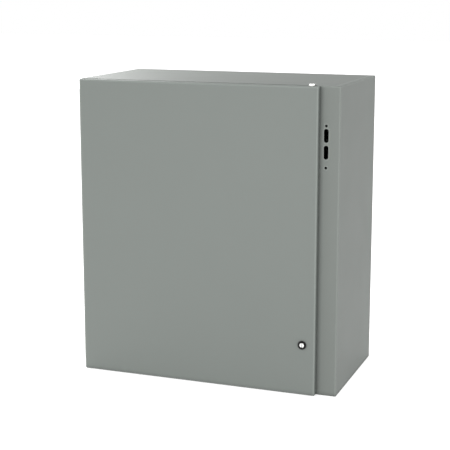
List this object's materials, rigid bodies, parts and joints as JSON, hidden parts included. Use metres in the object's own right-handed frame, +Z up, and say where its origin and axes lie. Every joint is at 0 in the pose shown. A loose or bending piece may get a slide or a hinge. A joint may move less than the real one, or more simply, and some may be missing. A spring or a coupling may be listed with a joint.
{
  "type": "automatic transfer switch",
  "caption": "Automatic transfer switch in a hinged sheet-steel enclosure with a quarter-turn latch and an operator flange at the right.",
  "frame": {"origin": "middle of the underside of the enclosure", "axes": "+X to the right as seen from the door, +Y from the door to the back, +Z up"},
  "size_m": [0.8197, 0.4358, 0.9184],
  "materials": {
    "enclosure_paint": "grey textured powder coat",
    "door_paint": "grey textured powder coat",
    "panel_paint": "white enamel",
    "zinc_plate": "bright zinc plate",
    "stainless": "fine brushed",
    "nickel_bright": "bright nickel plate",
    "black_latch": "black moulded nylon",
    "gasket_foam": "closed-cell foam",
    "pocket_plastic": "grey styrene",
    "moulding_red": "glass-polyester moulding",
    "barrier_fibre": "fibre board",
    "copper_bar": "drawn copper, lightly tarnished",
    "silver_contact": "silver alloy",
    "aluminium_lug": "tin-plated",
    "black_moulding": "black phenolic",
    "shaft_moulding": "glass-polyester bar",
    "handle_red": "red moulded grip",
    "coil_tape": "yellow varnished tape",
    "core_iron": "varnished laminations",
    "case_grey": "grey moulded plastic",
    "screen_glass": "unlit display window",
    "lamp_lens": "green lens",
    "button_test": "blue moulded cap",
    "button_transfer": "yellow moulded cap",
    "button_reset": "red moulded cap",
    "relay_clear": "translucent cover",
    "terminal_plastic": "beige nylon",
    "fuse_ceramic": "glazed ceramic tube",
    "standoff_plastic": "red insulator",
    "loom_sleeve": "spiral sleeve"
  },
  "bodies": {
    "enclosure": {"left_side_wall": "enclosure_paint", "right_side_wall": "enclosure_paint", "back_wall": "enclosure_paint", "top_wall": "enclosure_paint", "bottom_wall": "enclosure_paint", "hinge_body_leaf": "enclosure_paint", "hinge_pin": "stainless", "body_seal_tab": "nickel_bright", "subpanel": "panel_paint", "panel_studs": "zinc_plate", "panel_nuts": "zinc_plate", "switch_base": "moulding_red", "base_spacers": "zinc_plate", "normal_bus_bars": "copper_bar", "emergency_bus_bars": "copper_bar", "load_bus_bars": "copper_bar", "normal_lugs": "aluminium_lug", "emergency_lugs": "aluminium_lug", "load_lugs": "aluminium_lug", "lug_screws": "zinc_plate", "fixed_contacts": "silver_contact", "arc_chutes": "barrier_fibre", "phase_barriers": "barrier_fibre", "shaft_bearing_plates": "zinc_plate", "solenoid_frame": "zinc_plate", "solenoid_coil": "coil_tape", "controller_case": "case_grey", "controller_screen": "screen_glass", "status_lamps": "lamp_lens", "relay_sockets": "black_moulding", "relay_covers": "relay_clear", "terminal_strip": "terminal_plastic", "terminal_screws": "nickel_bright", "fuse_block": "black_moulding", "fuses": "fuse_ceramic", "transformer_core": "core_iron", "transformer_coil": "coil_tape", "neutral_bar": "aluminium_lug", "ground_bar": "aluminium_lug", "bar_stands": "standoff_plastic", "bar_screws": "zinc_plate", "wiring_loom": "loom_sleeve"},
    "door": {"door_pan": "door_paint", "door_gasket": "gasket_foam", "door_stiffener": "door_paint", "data_pocket": "pocket_plastic", "door_seal_tab": "nickel_bright", "hinge_door_leaf": "door_paint", "latch_housing": "black_latch", "latch_nut": "zinc_plate"},
    "latch": {"latch_spindle": "nickel_bright", "latch_cam": "zinc_plate"},
    "contact_shaft": {"contact_shaft": "shaft_moulding", "contact_blades": "copper_bar", "drive_crank": "zinc_plate", "manual_handle": "handle_red"},
    "plunger": {"solenoid_plunger": "stainless"},
    "test_button": {"test_button": "button_test"},
    "transfer_button": {"transfer_button": "button_transfer"},
    "reset_button": {"reset_button": "button_reset"}
  },
  "joints": [
    {"name": "door_hinge", "type": "hinge", "parent": "enclosure", "child": "door", "pos_m": [-0.4101, -0.1974, 0.4572], "axis": [0, 0, -1], "range_deg": [0, 180]},
    {"name": "latch_turn", "type": "hinge", "parent": "door", "child": "latch", "pos_m": [0.3071, -0.2, 0.154], "axis": [0, -1, 0], "range_deg": [0, 90]},
    {"name": "shaft_throw", "type": "hinge", "parent": "enclosure", "child": "contact_shaft", "pos_m": [0, 0.14, 0.5], "axis": [1, 0, 0], "range_deg": [0, 60]},
    {"name": "plunger_slide", "type": "slide", "parent": "enclosure", "child": "plunger", "axis": [0, 0, -1], "range_m": [0, 0.03]},
    {"name": "test_press", "type": "slide", "parent": "enclosure", "child": "test_button", "axis": [0, 1, 0], "range_m": [0, 0.003], "stiffness_N_per_m": 400},
    {"name": "transfer_press", "type": "slide", "parent": "enclosure", "child": "transfer_button", "axis": [0, 1, 0], "range_m": [0, 0.003], "stiffness_N_per_m": 400},
    {"name": "reset_press", "type": "slide", "parent": "enclosure", "child": "reset_button", "axis": [0, 1, 0], "range_m": [0, 0.003], "stiffness_N_per_m": 400}
  ],
  "couplings": [
    {"joint": "plunger_slide", "follows": "shaft_throw", "m_per_rad": 0.028648}
  ]
}
